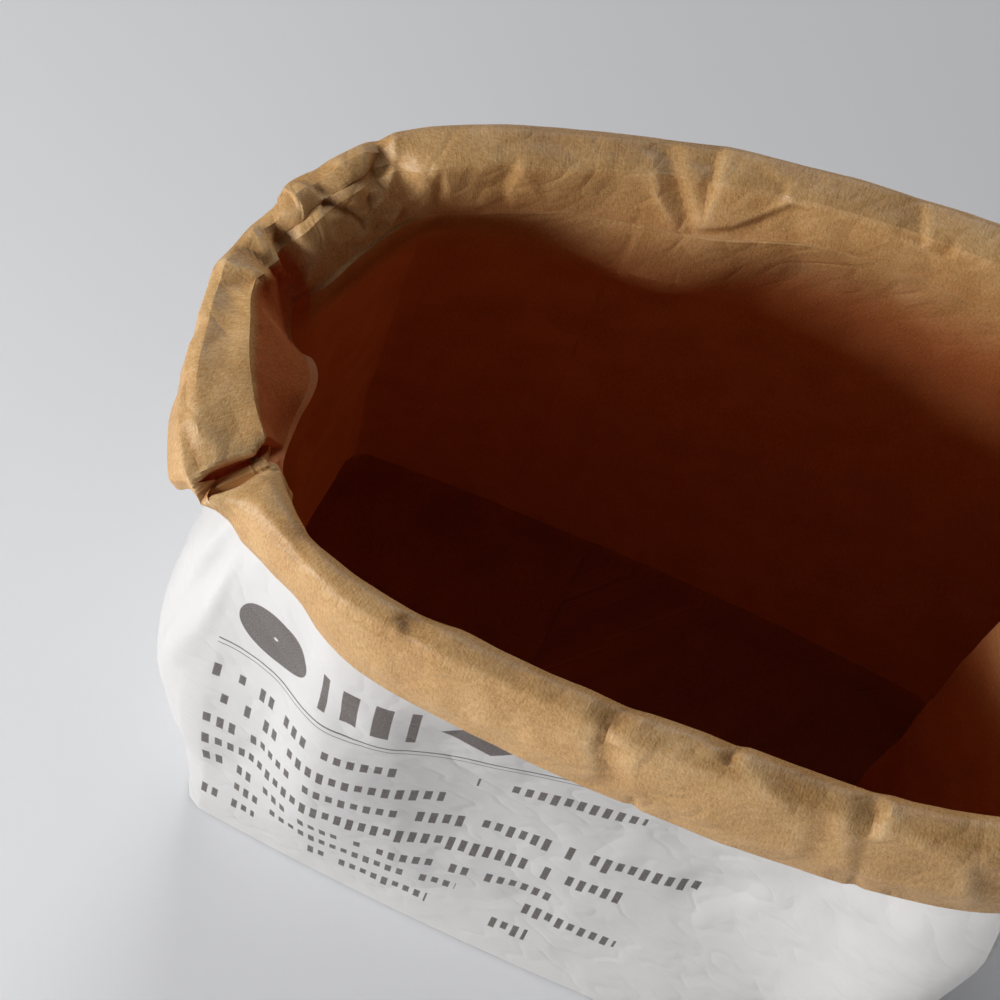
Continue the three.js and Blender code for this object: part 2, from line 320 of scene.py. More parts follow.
FAR_LINES = [
    [(676, 1.0, 0.3), (666, 1.0, 0.3), (659, 1.07, 0.3), (649, 1.23, 0.5)],
    [(676, 1.0, 0.3), (677, 0.58, -0.8), (679, 0.28, -0.7)],
    [(674.5, 0.95, 0.4), (673, 0.53, 0.6), (672, 0.18, 0.4)],
    [(666, 1.0, 0.3), (664, 0.55, 0.2)],
    [(649, 1.23, 0.5), (651, 0.93, -0.9), (653, 0.68, -0.8), (653, 0.35, -0.4)],
    [(648, 2.15, 0), (648, 1.48, 0.4), (646.5, 1.25, 0.6), (647.5, 0.85, 0.6), (652, 0.43, 0.3),
     (658, 0.18, -0.2)],
    [(642, 0.7, 0.1), (645, 0.65, 0.6), (651, 0.4, 0.5), (664, 0.1, 0.5), (677, 0.02, 0.6)],
    [(630, 0.05, -0.1), (626, 0.35, -0.5), (627, 0.6, -0.4), (618, 0.5, -0.7), (609, 0.53, -0.5)],
    [(607, 1.93, -0.2), (608, 1.55, -0.7), (608, 1.33, 0.4), (607.5, 0.9, 0.5), (606.5, 0.58, 0.6),
     (599, 0.02, 0.7)],
    [(605.5, 2.18, -0.2), (604, 1.38, -1.2), (601.5, 0.93, -1.5), (598.5, 0.5, -1.6), (596.5, 0.23, -0.9)],
    [(600, 1.8, 0.2), (598.5, 1.35, 0.2), (595.5, 0.78, 0.3), (593, 0.35, 0.6)],
    [(597, 0.95, 0.5), (594, 1.0, 0.4)],
    [(589.5, 1.8, -0.4), (590, 1.38, -1.1), (590.5, 0.98, -1), (591.5, 0.58, -0.6), (595, 0.18, -0.4)],
    [(587.5, 1.78, 0.6), (587.5, 1.4, 0.6), (587.5, 0.95, 0.7), (591, 0.18, 1)],
    [(587.5, 1.78, 0.6), (580, 1.6, 0.6), (570, 1.35, 0.7), (566, 1.4, 0.6), (563, 2.08, 0)],
    [(591, 0.18, 1), (581, 0.33, 0.9), (574, 0.58, 0.9), (566, 0.93, 0.9), (556, 0.88, 0.6), (546, 0.85, 0.5),
     (538, 0.85, 0.5), (522, 0.73, 0.6), (513, 0.62, 0.6)],
    [(594, 0.02, -0.6), (581, 0.15, -0.9), (570, 0.48, -1), (564.5, 0.78, -0.6)],
    [(569.5, 1.24, -0.4), (568.5, 1.12, -0.9), (567.5, 1.0, -0.2)],
    [(566, 1.4, 0.6), (566, 1.15, 0.5), (566, 0.93, 0.9)],
    [(527, 1.73, -0.2), (525, 1.48, -0.7), (523.5, 1.12, -0.9), (522, 0.8, -0.6)],
    [(524, 2.1, 0.1), (523, 1.6, 0.3), (521, 1.28, 0.6), (519, 0.9, 0.4)],
    [(523, 1.6, 0.3), (511, 1.2, 0.6), (497, 1.03, 0.2)],
    [(512, 1.12, -0.1), (513, 0.9, -0.7), (514, 0.7, -0.5)],
    [(510, 1.1, 0.6), (510, 0.83, 0.6), (511, 0.6, 0.4)],
    [(637, 1.4, 0), (625, 1.12, 0.3), (613, 1.53, 0.1)],
    [(552, 1.48, 0.2), (541, 1.33, 0.2)],
]
FOLD_LINES = [
    [(688, 2.45, -0.9), (690, 2.15, -2.3), (694.5, 1.5, -2.8), (698.5, 0.98, -2.3), (701.5, 0.77, -1.6)],
    [(692, 2.3, 0.8), (694, 2.1, 0.9), (698.5, 1.5, 1.2), (702.5, 1.02, 0.9)],
    [(685, 2.2, 0.9), (691, 1.13, 1.1), (692.5, 0.55, 0.6)],
    [(699.5, 0.86, 0.3), (703, 0.8, 0.8), (701.5, 0.68, -0.6), (705, 0.62, 0.9), (704, 0.5, 0)],
    [(697, 0.72, 1.1), (692.5, 0.38, 1.1), (690, 0.18, 0.5)],
    [(698.5, 2.12, 0.6), (703.5, 1.45, 1.2), (704, 2.15, 0.6)],
    [(715.5, 1.36, 1.1), (709.5, 1.15, 1.9), (704.5, 0.6, 0.9)],
    [(715, 1.2, -1.4), (711.5, 0.95, -1.4), (706.5, 0.5, -1.1)],
    [(708, 2.5, -0.6), (708.5, 2.1, -1.9), (714.5, 1.5, -1.2)],
    [(710.5, 0.78, 0.5), (709, 0.5, 0.8), (712, 0.35, 0.6)],
    [(716, 1.48, 0.5), (721, 0.98, 2), (722, 0.62, 2), (720, 0.4, 1.1)],
    [(722, 0.62, 2), (732.5, 0.55, 1.9), (738.5, 0.35, 1.4), (743, 0.08, 0.5)],
    [(718.5, 2.1, 0.5), (726, 1.75, 1.2), (732.5, 1.45, 1.6), (737.5, 0.98, 1.1), (738.5, 0.6, 0.7)],
    [(740.5, 2.4, -0.4), (743.5, 2.0, -1.2), (744.5, 1.5, -2), (746, 0.88, -2.2), (744.5, 0.25, -1.1)],
    [(749.5, 2.4, 0.3), (750.5, 1.83, 0.9), (749, 1.2, 1), (747.5, 0.5, 0.5)],
    [(756.5, 2.45, -1.2), (755.5, 2.0, -2.3), (753, 1.63, -2.8), (751, 1.1, -2.8), (748, 0.5, -2),
     (744.5, 0.05, -0.8)],
    [(763, 2.35, 0.6), (760.5, 2.03, 1.2), (759.5, 1.48, 1.6), (755.5, 0.92, 1.2)],
    [(767.5, 2.2, -0.6), (766, 1.58, -1), (761, 1.08, -1)],
    [(736, 0.1, 0), (730, 0.2, 0.6), (720.5, 0.28, 0.8), (713, 0.18, -0.6), (708.5, 0.2, 0.9),
     (700.5, 0.18, -0.8), (696.5, 0.2, 0.8), (692.5, 0.2, -0.3)],
    [(769, 1.07, 0.4), (782, 1.0, 0.5), (793, 0.97, 0.6), (802, 0.88, 0.6), (812, 0.73, 0.3),
     (820, 0.62, 0.2)],
    [(818.5, 1.85, 0.9), (815, 1.46, 1.4), (806, 1.25, 1.4), (794, 1.0, 0.6)],
    [(819, 2.25, 0.8), (827, 2.12, 0.7), (834, 2.08, 0.7)],
    [(820.5, 2.0, -0.5), (827, 1.9, -0.9), (833, 1.88, -0.8)],
    [(824, 1.3, 0.3), (830, 1.55, 0.9), (834, 1.62, 0.8)],
    [(821, 0.1, 0), (828, 0.6, 0.5), (834, 1.15, 0.8), (834.5, 1.6, 0.8), (834, 1.95, 0.3)],
]
CREASES = NEAR_CREASES + RIGHT_CREASES + FAR_CREASES + LEFT_CREASES
print(len(CREASES), "creases and", len(NEAR_LINES) + len(FAR_LINES) + len(FOLD_LINES), "fold lines")

# %% [markdown]
# ## The sheet
# The paper is modelled as what it is: one sheet of fine squares, added flat with the grid
# tool and then carried to its place. Its columns stand side by side along the tube, closer
# together where the roll is crumpled, and its rows run up the white outer face, round the
# roll and down the brown inside. Extruding a loop again and again would give the same mesh,
# but a flat sheet keeps each square's place on the paper, which the print and the fibres need.

# %% Rows and columns of the sheet
COLUMN_COUNT = 722
CROWDED_PLACE, CROWDED_HALF, CROWDED_FADE = 740.0, 92.0, 24.0
FAR_CROWDED, FAR_CROWDED_HALF, FAR_CROWDED_SHARE = 590.0, 80.0, 0.6
CROWDED_SHARE, CREASED_SHARE = 0.9, 0.9
UNDER, WALL_TOP = 0.9, 200.0
WALL_STEP, ROWS_ABOVE = 11.5, 8
LOWEST_ROWS = [UNDER, 2.2, 5.0, 9.0]
TUCK_ROWS, OUTER_ROWS, CROWN_ROWS, INNER_ROWS = 3, 34, 16, 27
TRIED_STEP = 0.25
CREASED_REACH = 1.3

tried = np.arange(0, ROUND + TRIED_STEP, TRIED_STEP)
creased = np.zeros(len(tried))
for start, _, end, _, before, after, _ in CREASES:
    half = abs(apart(end, start)) / 2 + max(before, after)
    middle = start + apart(end, start) / 2
    near = np.clip(CREASED_REACH - np.abs(apart(tried, middle)) / half, 0, 1)
    creased = np.maximum(creased, near)
crowded = stretch(tried, CROWDED_PLACE, CROWDED_HALF, CROWDED_FADE)
far_crowded = stretch(tried, FAR_CROWDED, FAR_CROWDED_HALF, CROWDED_FADE)
crowded = np.maximum(crowded, FAR_CROWDED_SHARE * far_crowded)
needed = np.cumsum(1 + CROWDED_SHARE * crowded + CREASED_SHARE * creased)
needed = (needed - needed[0]) / (needed[-1] - needed[0])
columns = np.interp(np.linspace(0, 1, COLUMN_COUNT), needed, tried)


def wall_heights(top):
    """The heights of a wall's rows, for the height that its last row has at each column."""
    low = np.concatenate([LOWEST_ROWS, np.arange(LOWEST_ROWS[-1] + WALL_STEP, WALL_TOP, WALL_STEP)])
    high = np.linspace(0, 1, ROWS_ABOVE + 1)[1:, None] * (top - low[-1])[None] + low[-1]
    return np.concatenate([np.repeat(low[:, None], len(columns), 1), high])


print("columns are", np.diff(columns).min().round(2), "to", np.diff(columns).max().round(2), "mm apart")

# %% [markdown]
# ## The walls' own folds
# A carrier comes flat. When it is opened, the creases of its packing stay: one across the
# front and back at the height of the bottom's fold, one up each corner, and the gussets'.
# The long walls also carry broad, shallow facets from handling. Both plies move together.

# %% The shape of one crease
SOFT = 0.18
END_WIDTH, END_PLACES = 0.35, (0.08, 0.92)
END_DROP, FLANK = 0.6, 1.12


def crease_rise(rx, ry, dx, dy, widths, rise):
    """The rise of one crease at places rx, ry from its start, for its run dx, dy."""
    length = max(math.hypot(dx, dy), 0.1)
    t = np.clip((rx * dx + ry * dy) / length**2, 0, 1)
    off = np.hypot(rx - dx * t, ry - dy * t)
    before, after = widths
    widest = END_WIDTH + (1 - END_WIDTH) * np.sin(math.pi * np.clip(t, *END_PLACES))
    width = np.where(dx * ry < dy * rx, after, before) * widest
    off = np.sqrt(off**2 + SOFT**2) - SOFT
    return rise * (1 - END_DROP * (2 * t - 1) ** 6) * np.clip(1 - off / width, 0, 1) ** FLANK


one_crease = crease_rise(np.linspace(-5, 5, 3), np.zeros(3), 0, 10, (5, 5), 1.0)
print("across one crease the paper rises", one_crease.round(2))

# %% [markdown]
# A wall's folds are lists of places, found by looking at such bags: facets at two sizes, the
# fold from packing, the corners, single creases, and the lip that sags under the far rim. The
# sheet's glued end makes a step up the back.

# %% Folds in the walls
OUTER_PLY, INNER_PLY = 0.8, -0.4
WAIST_GAP, WAIST_REACH = 1.6, 6.0
WALL_FACETS = [(86.0, 11, 2.2), (34.0, 12, 0.45)]
PACKING_FOLD, PACKING_WIDTH, PACKING_RISE = 86.0, 16.0, 1.1
GUSSET_FLAT, GUSSET_FADE = 70.0, 12.0
CORNER_CREASES = [0.0, FRONT_RIGHT, BACK_RIGHT, BACK_LEFT]
CORNER_HALF, CORNER_RISE, CORNER_FROM, CORNER_FULL = 14.0, 1.6, 30.0, 90.0
FOLD_FLANK = 1.5
FOOT_HELD, FOOT_FREE, TOP_FREE, TOP_HELD = 6.0, 60.0, 0.86, 0.99
LIP_PLACE, LIP_HALF, LIP_DEPTH, LIP_TALL, LIP_END = 600.0, 52.0, 10.0, 26.0, 2.1
WALL_CREASES = [
    (836, 246, 829, 158, 9, 11, -2.6), (3, 240, 836, 150, 5, 7, 1.4), (72, 240, 90, 60, 26, 22, 1.5),
    (33, 252, 66, 194, 13, 15, -1.5), (184, 118, 206, 150, 15, 13, -2.4), (222, 180, 250, 216, 14, 12, 2.0),
    (205, 172, 236, 168, 9, 9, -1.4), (265, 226, 261, 150, 5, 7, -2.0), (120, 120, 150, 40, 18, 22, -1.3),
    (30, 130, 12, 60, 14, 14, -1.2), (300, 230, 318, 90, 16, 14, -2.2), (395, 240, 372, 100, 14, 16, -2.0),
    (470, 210, 520, 120, 20, 24, -1.8), (640, 190, 590, 90, 22, 20, -1.6), (560, 230, 575, 150, 18, 16, 1.5),
    (700, 220, 722, 110, 15, 17, -2.0), (795, 230, 780, 120, 15, 14, -1.6),
]
SEAM_PLACE, SEAM_LAP, SEAM_STEP, SEAM_EDGE, SEAM_FADE = 612.0, 24.0, 0.5, 0.9, 30.0


def wall_folds(along, height, top):
    """How far the wall moves outwards, in mm."""
    free = ease(height, FOOT_HELD, FOOT_FREE) * (1 - ease(height / top, TOP_FREE, TOP_HELD))
    move = 0
    for cell, seed, rise in WALL_FACETS:
        move = move + rise * facets(along, height, cell, seed)
    flat = 1
    for gusset, _ in GUSSETS:
        flat = flat - stretch(along, gusset, GUSSET_FLAT, GUSSET_FADE)
    crease = np.clip(1 - np.abs(height - PACKING_FOLD) / PACKING_WIDTH, 0, 1)
    move = move + PACKING_RISE * crease**FOLD_FLANK * flat
    for corner in CORNER_CREASES:
        edge = np.clip(1 - np.abs(apart(along, corner)) / CORNER_HALF, 0, 1)
        move = move + CORNER_RISE * edge**FOLD_FLANK * ease(height, CORNER_FROM, CORNER_FULL)
    for start, low, end, high, *widths, rise in WALL_CREASES:
        beside, run = apart(along, start), apart(end, start)
        move = move + crease_rise(beside, height - low, run, high - low, widths, rise)
    lip = np.clip(1 - np.abs(apart(along, LIP_PLACE)) / LIP_HALF, 0, 1)
    below = (top - height) / LIP_TALL
    sag = np.clip(below, 0, 1) * np.clip(LIP_END - below, 0, 1)
    return move * free - LIP_DEPTH * ease(lip, 0, 1) * sag


def glued_seam(along, thickness):
    """The step where the sheet's end is glued over its start, seen from outside or from inside."""
    side = 1 if thickness > 0 else -1
    past = side * apart(along, SEAM_PLACE)
    lap = np.clip(past / SEAM_EDGE, 0, 1) * (1 - ease(past, SEAM_LAP, SEAM_LAP + SEAM_FADE))
    return side * SEAM_STEP * lap


def wall_at(along, height, thickness):
    """A wall's surface: its points in space."""
    top = mouth("rim", along) - mouth("inner", along)
    t = np.minimum(height / top, 1)
    out_rim = outward(rim_edge, along)
    out = outward(base, along) * (1 - t[..., None]) + out_rim * t[..., None]
    out /= np.linalg.norm(out, axis=-1, keepdims=True)
    above = np.clip((mouth("rim", along) - height) / mouth("inner", along), 0, 1)
    waist = rim_edge(along) - out_rim * (mouth("lean", along) * above)[..., None]
    plan = base(along) * (1 - t[..., None]) + waist * t[..., None]
    swell = mouth("belly", along) * 4 * t * (1 - t) * (1 + SWELL_RISE * (2 * t - 1))
    swell = swell - gusset_push(along, height) + thickness
    swell = swell + wall_folds(along, height, top) + glued_seam(along, thickness)
    if thickness > 0:
        swell = swell + WAIST_GAP * np.clip((height - top) / WAIST_REACH + 1, 0, 1)
    return np.concatenate([plan + out * swell[..., None], height[..., None]], -1)


rim, deep, inner, lean = (mouth(name, columns) for name in ("rim", "deep", "inner", "lean"))
tall = roll_height(columns)
TUCK = 3.0
outer_heights = wall_heights(rim - tall + TUCK)
inner_heights = wall_heights(rim - inner)
outer_wall = wall_at(np.repeat(columns[None], len(outer_heights), 0), outer_heights, OUTER_PLY)
inner_wall = wall_at(np.repeat(columns[None], len(inner_heights), 0), inner_heights, INNER_PLY)
print("outer wall reaches", outer_heights[-1].min().round(), "to", outer_heights[-1].max().round(), "mm up")

# %% [markdown]
# ## The roll
# Cut across, the roll is a soft loop: up the outer face, over the crown, and down the inner
# face to the waist. A place on it is a single number: 0 at the waist, 1 at the inner edge,
# 2 at the outer edge and 3 at the foot. A few stations give the loop, and a light blur along
# it turns its corners into the round bends of rolled paper.

# %% Section of the roll, carried round the mouth
ROLL_STATIONS = np.array([0, 0.55, 0.92, 1.22, 1.76, 2.1, 2.55, 3.0])
ROLL_ACROSS = [0, 0, 0, 0.22, 0.76, 1.0, 1.2, 1.12]
ROLL_LEAN = [1, 0.45, 0.08, 0, 0, 0, 0, 0]
ROLL_INNER_DROP = [1, 0.45, 0.08, 0, 0, 0, 0, 0]
ROLL_OUTER_DROP = [0, 0, 0, 0, 0, 0.1, 0.55, 1.0]
CORNER_STATIONS = [0, 2, 5, 7]
CROWN_PUFF, CROWN_MIDDLE, CROWN_HALF = 0.9, 1.5, 0.5
CRISP_MIDDLE, CRISP_REACH, CRISP_FADE = 0.65, 2.2, 0.5
BLURS = 3
FLAT_END, FLAT_END_HALF, FLAT_END_FADE = 795.0, 32.0, 12.0
FAR_SIDE, FAR_SIDE_HALF, FAR_SIDE_FADE, FAR_SHARE = 600.0, 88.0, 30.0, 0.35
SLOPED, SLOPED_HALF, SLOPED_FADE, SLOPE_OUT, SLOPE_DOWN = 717.0, 26.0, 14.0, 0.4, 0.22
SLIT_HALF, SLIT_FADE = 5.0, 8.0

out_rim = outward(rim_edge, columns)
edge = rim_edge(columns)
stations = []
for across, leaning, inner_drop, outer_drop in zip(ROLL_ACROSS, ROLL_LEAN, ROLL_INNER_DROP, ROLL_OUTER_DROP):
    past_edge = max(across - 1, 0) * (1 - stretch(columns, 0.0, SLIT_HALF, SLIT_FADE))
    away = deep * (min(across, 1) + past_edge) - lean * leaning
    height = rim - inner * inner_drop - tall * outer_drop
    stations.append(np.concatenate([edge + out_rim * away[:, None], height[:, None]], 1))
stations = np.array(stations)
places_on_roll = np.concatenate([
    np.linspace(3, 2, OUTER_ROWS + 1)[:-1],
    np.linspace(2, 1, CROWN_ROWS + 1)[:-1],
    np.linspace(1, 0, INNER_ROWS + 1)[:-1],
])
weights = np.array([np.interp(places_on_roll, ROLL_STATIONS, one) for one in np.eye(len(stations))]).T
roll = np.einsum("rs,scx->rcx", weights, stations)
flat_end = stretch(columns, FLAT_END, FLAT_END_HALF, FLAT_END_FADE)
sloped = stretch(columns, SLOPED, SLOPED_HALF, SLOPED_FADE)
crisp = np.maximum(flat_end, FAR_SHARE * stretch(columns, FAR_SIDE, FAR_SIDE_HALF, FAR_SIDE_FADE))
crisp = np.maximum(crisp, sloped)
on_crown = np.clip(1 - ((places_on_roll - CROWN_MIDDLE) / CROWN_HALF) ** 2, 0, 1)[:, None]
roll[..., 2] += CROWN_PUFF * on_crown * (1 - crisp)
sharp = np.array([np.interp(places_on_roll, [0, 1, 2, 3], one) for one in np.eye(4)]).T
corners = stations[CORNER_STATIONS].copy()
slope_plan = edge + out_rim * (SLOPE_OUT * deep * sloped)[:, None]
corners[1] = np.concatenate([slope_plan, (rim - SLOPE_DOWN * inner * sloped)[:, None]], 1)
crisp_roll = np.einsum("rs,scx->rcx", sharp, corners)
near_inner = np.clip(CRISP_REACH - np.abs(places_on_roll - CRISP_MIDDLE) / CRISP_FADE, 0, 1)
crisp_share = crisp[None] * near_inner[:, None]
tuck_share = np.linspace(0, 1, TUCK_ROWS + 2)[1:-1][:, None, None]
tuck = outer_wall[-1] * (1 - tuck_share) + roll[0] * tuck_share
print("roll:", roll.shape[0], "rows,", "deepest", deep.max(), "mm")

# %% [markdown]
# ## Press the creases and facets in
# The sides of a crease are flat, so it is a straight slope down to its line and up again, and
# it is widest half way along: the long kite that a fingertip leaves. All that moves the roll's
# surface moves it straight out of the surface, so that direction comes first, from the smooth
# roll.

# %% How a crease moves the paper
LAST_PLACE = 3.2
BORDER_FIRST, BORDER_LAST = -0.05, 2.9
BORDER_ROWS, BORDER_SIDES = (0.2, 2.6, 9), 20
TOO_THIN, JOINED = 1e-6, 0.01


def on_paper(along, place):
    """A place on the roll as a distance in mm from the inner edge, outwards and down."""
    inner_part = -mouth("inner", along) * (1 - np.clip(place, 0, 1))
    crown_part = mouth("deep", along) * (np.clip(place, 1, 2) - 1)
    return inner_part + crown_part + roll_height(along) * (np.clip(place, 2, LAST_PLACE) - 2)


def roll_crease(x, y, crease):
    start, start_place, end, end_place, *widths, rise = crease
    start_y, end_y = on_paper(np.array([start, end], float), np.array([start_place, end_place]))
    return crease_rise(apart(x, start), y - start_y, apart(end, start), end_y - start_y, widths, rise)


def blurred(values, times):
    """Each value evened out with its neighbours along the rows and, round the tube, the columns."""
    for _ in range(times):
        values = values.copy()
        values[1:-1] = (values[:-2] + 2 * values[1:-1] + values[2:]) / 4
        wide = np.concatenate([values[:, -2:-1], values, values[:, 1:2]], 1)
        values = (wide[:, :-2] + 2 * wide[:, 1:-1] + wide[:, 2:]) / 4
    return values


def folded(x, y, lines, first, last):
    """The rise at x, y of paper folded along lines and flat between them, with a border of 0."""
    corners, folds = [], []
    for line in lines:
        folds += [(len(corners) + number, len(corners) + number + 1) for number in range(len(line) - 1)]
        corners += line
    border = [(along, place) for along in np.linspace(first, last, BORDER_SIDES)
              for place in (BORDER_FIRST, BORDER_LAST)]
    border += [(along, place) for along in (first, last) for place in np.linspace(*BORDER_ROWS)]
    corners = np.array(corners + [(*one, 0) for one in border], float)
    flat = np.stack([corners[:, 0], on_paper(corners[:, 0], corners[:, 1])], -1)
    cut = delaunay_2d_cdt([Vector(one) for one in flat.tolist()], folds, [], 0, JOINED)
    spots, triangles, origins = cut[0], cut[2], cut[3]
    heights = [corners[one[0], 2] if one else 0.0 for one in origins]
    print(len(triangles), "flat facets,", sum(not one for one in origins), "crossings")
    rise = np.zeros(x.shape)
    for a, b, c in triangles:
        side_b, side_c = spots[b] - spots[a], spots[c] - spots[a]
        area = side_b.x * side_c.y - side_c.x * side_b.y
        if abs(area) < TOO_THIN:
            continue
        dx, dy = x - spots[a].x, y - spots[a].y
        to_b = (dx * side_c.y - dy * side_c.x) / area
        to_c = (dy * side_b.x - dx * side_b.y) / area
        inside = (to_b >= 0) & (to_c >= 0) & (to_b + to_c <= 1)
        here = heights[a] + to_b * (heights[b] - heights[a]) + to_c * (heights[c] - heights[a])
        rise[inside] = here[inside]
    return rise


print("paper across the near side of the roll:", on_paper(np.full(4, 145.0), np.arange(4)).round(1))

# %% [markdown]
# The roll is now joined to the rows of wall beside it, and blurred across, so that it turns into
# them without an edge. The left end and the far side keep part of their sharp corners. Then
# each point gets the direction in which folds may move it.

# %% The smooth roll between its walls
LEAD = 3
FIRST = LEAD + TUCK_ROWS
NORMAL_BLURS = 4

section = np.concatenate([outer_wall[-LEAD:], tuck, roll, inner_wall[-1:], inner_wall[-2:-1]])
for _ in range(BLURS):
    section[LEAD:-2] = (section[LEAD - 1:-3] + 2 * section[LEAD:-2] + section[LEAD + 1:-1]) / 4
on_roll = slice(FIRST, FIRST + len(roll))
section[on_roll] += (crisp_roll - section[on_roll]) * crisp_share[..., None]
tuck_places = np.linspace(LAST_PLACE, 3, TUCK_ROWS + 1)[:-1]
section_places = np.concatenate([[LAST_PLACE] * LEAD, tuck_places, places_on_roll, [0, 0]])

along_section = np.repeat(columns[None], len(section), 0)
paper_y = on_paper(along_section, np.repeat(section_places[:, None], len(columns), 1))
paper_y[:FIRST] = paper_y[FIRST]

up_rows = np.gradient(section, axis=0)
looped = np.concatenate([section[:, -3:-1], section, section[:, 1:3]], 1)
along_columns = np.gradient(looped, axis=1)[:, 2:-2]
normals = np.cross(along_columns, up_rows)
normals /= np.maximum(np.linalg.norm(normals, axis=-1, keepdims=True), 1e-9)
for _ in range(NORMAL_BLURS):
    normals = blurred(normals, 1)
    normals /= np.linalg.norm(normals, axis=-1, keepdims=True)
print("the roll's section has", len(section), "rows")

# %% [markdown]
# All the folds are summed into one rise and the roll is moved once. Moving it fold by fold would
# tilt the surface under the next one. At the outer edge of the far side the folds fade, because
# bumps would show there against the floor.

# %% Move the roll's surface
ROLL_FACETS = [(46.0, 21), (21.0, 22), (15.0, 23), (7.0, 24)]
CRUMPLE_PLACE, CRUMPLE_HALF, CRUMPLE_FADE = 720.0, 22.0, 14.0
CRUSHED_PLACE, CRUSHED_HALF, CRUSHED_FADE = 699.0, 6.0, 6.0
CRUSHED_LOW, CRUSHED_HIGH = (-26, -16), (-10, -2)
FOLD_SPAN, FAR_SPAN, NEAR_SPAN = (682.0, 838.0), (486.0, 681.0), (8.0, 256.0)
OUTER_EDGE, OUTER_EDGE_SHARE = (1.8, 2.05), 0.3
FADE_FOOT, FADE_WAIST = 3, 6

rise = sum(roll_crease(along_section, paper_y, crease) for crease in CREASES)
crumple = stretch(along_section, CRUMPLE_PLACE, CRUMPLE_HALF, CRUMPLE_FADE)
crushed = stretch(along_section, CRUSHED_PLACE, CRUSHED_HALF, CRUSHED_FADE)
crushed = crushed * ease(-paper_y, *CRUSHED_HIGH) * ease(paper_y, *CRUSHED_LOW)
slit = sum(roll_crease(along_section, paper_y, crease) for crease in SLIT)
slit_share = blurred(np.clip(-slit * SLIT_STEEP, 0, 1), 1)
rise -= SLIT_DEPTH * slit_share
shares = [0.7, 0.2 + 0.2 * flat_end, 0.3 * crumple, 0.12 * crumple + 0.3 * crushed]
for (cell, seed), share in zip(ROLL_FACETS, shares):
    rise += facets(along_section, paper_y, cell, seed) * share
folds = folded(along_section, paper_y, FOLD_LINES, *FOLD_SPAN)
folds += folded(along_section, paper_y, FAR_LINES, *FAR_SPAN)
folds = folds * np.interp(section_places, OUTER_EDGE, [1, OUTER_EDGE_SHARE])[:, None]
folds += folded(along_section, paper_y, NEAR_LINES, *NEAR_SPAN)
rise += (folds + blurred(folds, 1)) / 2
row_numbers = np.arange(len(section))
roll_only = np.clip((row_numbers - LEAD) / FADE_FOOT, 0, 1)
roll_only = roll_only * np.clip((len(section) - 2 - row_numbers) / FADE_WAIST, 0, 1)
rise *= roll_only[:, None]
section = section + normals * rise[..., None]
print("roll moves from", rise.min().round(1), "to", rise.max().round(1), "mm")

# %% [markdown]
# ## Put the sheet together
# The rows are stacked in order: a strip of the underside, the outer wall, the roll, the inner
# wall and a strip of the floor. The grid tool adds the flat sheet, its points are carried to
# their places, and in edit mode the side seam is merged and the two open ends are filled.

# %% All points of the sheet
FLOOR = 1.5
STRIP = 4.0
ROLL_UP = 300.0


def strip_inside(row, height):
    inset = row[:, :2] - outward(base, columns) * STRIP
    return np.concatenate([inset, np.full((len(columns), 1), height)], 1)[None]


inner_down = inner_wall[::-1].copy()
inner_down[-1, :, 2] = FLOOR
points = np.concatenate([
    strip_inside(outer_wall[0], UNDER), outer_wall[:-LEAD], section[:-2], inner_down,
    strip_inside(inner_down[-1], FLOOR),
])
outer_count = 1 + len(outer_wall)
roll_rows = slice(outer_count - LEAD, outer_count - LEAD + len(section) - 2)
heights_up = np.concatenate([
    np.full((1, len(columns)), UNDER - STRIP), outer_heights, ROLL_UP + paper_y[LEAD:-2],
    inner_heights[::-1], np.full((1, len(columns)), -STRIP),
])
wear_and_shade_rows = np.zeros(points.shape[:2])
wear_and_shade_rows[roll_rows] = rise[:-2]
points[..., :2] -= OUTLINE_MIDDLE
points *= MM
print("sheet of", points.shape[0], "rows and", points.shape[1], "columns;",
      2 * (points.shape[0] - 1) * (points.shape[1] - 1), "triangles")

# %% [markdown]
# ## Wear and painted shade
# On a crease the paper's surface is rubbed, and the colour paints light onto it; in a valley
# the colour paints shade. How far each point stands above its surroundings says which it
# is. It is kept as an attribute that the material can read. Deep inside, the kraft's colour
# is painted darker and redder as painted shade, so a second attribute says how far inside a
# point is. The floor of the slit counts as inside, so it gets the same painted shade.

# %% Wear with painted ridge light and valley shade, and how far inside a point is
WEAR_AND_SHADE_SCALE, WEAR_AND_SHADE_BLURS = 0.45, 5
END_PLACE, END_HALF, END_FADE = 790.0, 46.0, 6.0
INSIDE_FROM, INSIDE_FROM_AT_END = 286.0, 299.5
INSIDE_OVER, INSIDE_OVER_AT_END = 42.0, 4.0

# Ridges above their surroundings take painted light and valleys take painted shade, along with the rub of
# wear.
wear = (wear_and_shade_rows - blurred(wear_and_shade_rows, WEAR_AND_SHADE_BLURS)) / WEAR_AND_SHADE_SCALE
wear = np.clip(wear, -1, 1) * 0.5 + 0.5
at_end = stretch(columns, END_PLACE, END_HALF, END_FADE)
inside_from = INSIDE_FROM + (INSIDE_FROM_AT_END - INSIDE_FROM) * at_end
inside_over = INSIDE_OVER + (INSIDE_OVER_AT_END - INSIDE_OVER) * at_end
# How far inside a point is: the kraft there gets painted shade, darker and redder.
inside = np.clip((inside_from - heights_up) / inside_over, 0, 1)
inside[:outer_count - LEAD + TUCK_ROWS + OUTER_ROWS] = 0
# The slit's floor gets the inside's painted shade.
inside[roll_rows] = np.maximum(inside[roll_rows], slit_share[:-2])
print("wear runs from", wear.min().round(2), "to", wear.max().round(2))

# %% [markdown]
# A grid primitive is a flat sheet of squares whose points are stored row by row. Its points are
# carried to the places worked out above, and each keeps its place on the paper as a UV map, and
# its wear with painted ridge light and valley shade as an attribute. Each row of squares belongs to the white
# ply or to the brown one.

